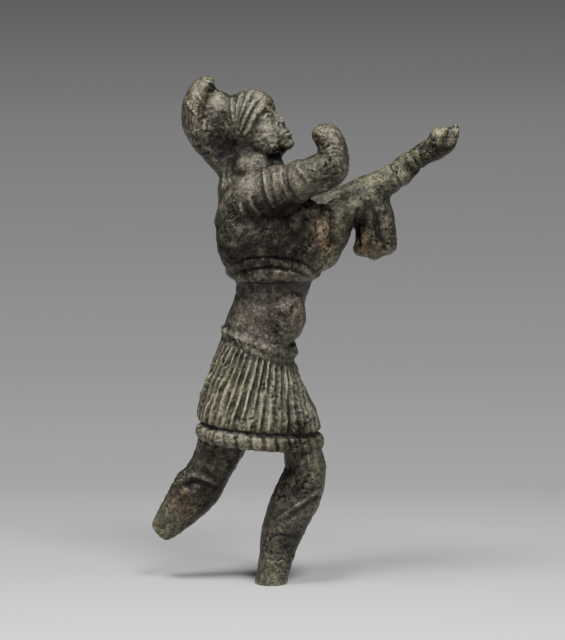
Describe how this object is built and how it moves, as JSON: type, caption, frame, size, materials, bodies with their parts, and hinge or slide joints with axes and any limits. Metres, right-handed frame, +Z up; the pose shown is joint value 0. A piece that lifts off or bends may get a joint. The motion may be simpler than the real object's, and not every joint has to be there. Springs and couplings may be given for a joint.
{
  "type": "figure statuette",
  "caption": "Small cast bronze figure of a striding horn player in a short tunic and pleated skirt, head thrown back, arms raised, legs broken off, standing on a stump.",
  "frame": {"origin": "middle of the flat underside of the left leg's stump, on which the figure stands", "axes": "+Z up through the standing figure, +X the way it strides and raises its left arm, -Y towards the side that shows best"},
  "size_m": [0.0614, 0.0264, 0.1021],
  "materials": {
    "corroded_bronze": "dark olive-brown patina, pitted and rough"
  },
  "bodies": {
    "root": {"bugler_figure": "corroded_bronze"}
  },
  "joints": []
}
